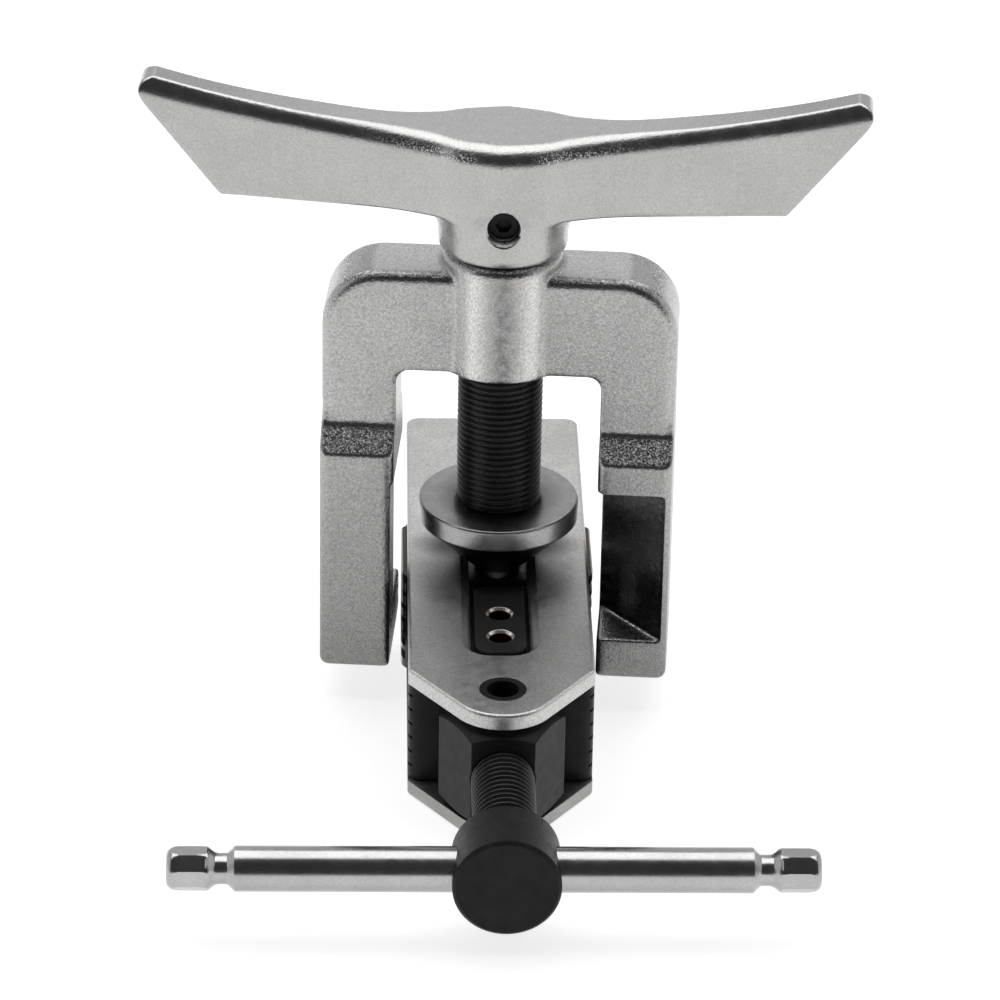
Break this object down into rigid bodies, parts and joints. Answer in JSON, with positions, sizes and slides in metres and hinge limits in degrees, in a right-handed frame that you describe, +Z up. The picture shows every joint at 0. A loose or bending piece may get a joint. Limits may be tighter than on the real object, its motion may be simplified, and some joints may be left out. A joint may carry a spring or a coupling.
{
  "type": "tube flaring tool",
  "caption": "Slip-on yoke flaring tool: split dies in a two-plate frame closed by an end T-bar screw, and a yoke whose winged screw drives a flaring cone.",
  "frame": {"origin": "under the middle of the whole tool, on the lower plate's resting face", "axes": "+Z up along the feed screw, +Y from the T-bar end to the rear of the frame, +X along the T-bar to the right"},
  "size_m": [0.1566, 0.1826, 0.1441],
  "materials": {
    "satin_nickel": "fine satin nickel plate",
    "cast_nickel": "nickel plate over a cast grain",
    "polished_chrome": "polished",
    "ground_steel": "ground",
    "black_oxide": "black oxide steel"
  },
  "bodies": {
    "frame": {"upper_plate": "satin_nickel", "lower_plate": "satin_nickel", "rear_block": "satin_nickel", "rear_frame_pin": "black_oxide", "nose_nut_block": "black_oxide", "upper_hollow_pin": "black_oxide", "lower_hollow_pin": "black_oxide", "wide_die_front": "ground_steel", "wide_die_rear": "ground_steel", "die_6": "ground_steel", "die_7": "ground_steel"},
    "clamp_follower": {"pressure_block": "black_oxide", "clamp_pad": "black_oxide"},
    "clamp_screw": {"clamp_screw": "black_oxide"},
    "t_bar": {"t_bar": "polished_chrome"},
    "die_1": {"die_1": "black_oxide"},
    "die_2": {"die_2": "black_oxide"},
    "die_3": {"die_3": "black_oxide"},
    "yoke": {"yoke": "cast_nickel"},
    "cone": {"flaring_cone": "polished_chrome", "thrust_ball": "ground_steel", "left_retaining_pin": "ground_steel", "right_retaining_pin": "ground_steel"},
    "handle": {"feed_screw": "black_oxide", "handle": "satin_nickel", "handle_set_screw": "black_oxide"}
  },
  "joints": [
    {"name": "yoke_lift", "type": "slide", "parent": "frame", "child": "yoke", "axis": [0, 0, 1], "range_m": [0, 0.04]},
    {"name": "cone_travel", "type": "slide", "parent": "yoke", "child": "cone", "axis": [0, 0, 1], "range_m": [0, 0.03]},
    {"name": "handle_spin", "type": "hinge", "parent": "cone", "child": "handle", "pos_m": [0, 0.02485, 0.12], "axis": [0, 0, 1], "range_deg": [0, 7653]},
    {"name": "clamp_travel", "type": "slide", "parent": "frame", "child": "clamp_follower", "axis": [0, 1, 0], "range_m": [0, 0.003]},
    {"name": "clamp_spin", "type": "hinge", "parent": "clamp_follower", "child": "clamp_screw", "pos_m": [0, -0.05065, 0.0155], "axis": [0, 1, 0], "range_deg": [0, 599.9]},
    {"name": "t_bar_slide", "type": "slide", "parent": "clamp_screw", "child": "t_bar", "axis": [1, 0, 0], "range_m": [-0.0395, 0.0445]},
    {"name": "die_1_travel", "type": "slide", "parent": "frame", "child": "die_1", "axis": [0, 1, 0], "range_m": [0, 0.003]},
    {"name": "die_2_travel", "type": "slide", "parent": "frame", "child": "die_2", "axis": [0, 1, 0], "range_m": [0, 0.003]},
    {"name": "die_3_travel", "type": "slide", "parent": "frame", "child": "die_3", "axis": [0, 1, 0], "range_m": [0, 0.003]}
  ],
  "couplings": [
    {"joint": "cone_travel", "follows": "handle_spin", "m_per_rad": 0.00022459},
    {"joint": "clamp_travel", "follows": "clamp_spin", "m_per_rad": 0.00028648},
    {"joint": "die_1_travel", "follows": "clamp_spin", "m_per_rad": 0.00028648},
    {"joint": "die_2_travel", "follows": "clamp_spin", "m_per_rad": 0.00028648},
    {"joint": "die_3_travel", "follows": "clamp_spin", "m_per_rad": 0.00028648}
  ]
}
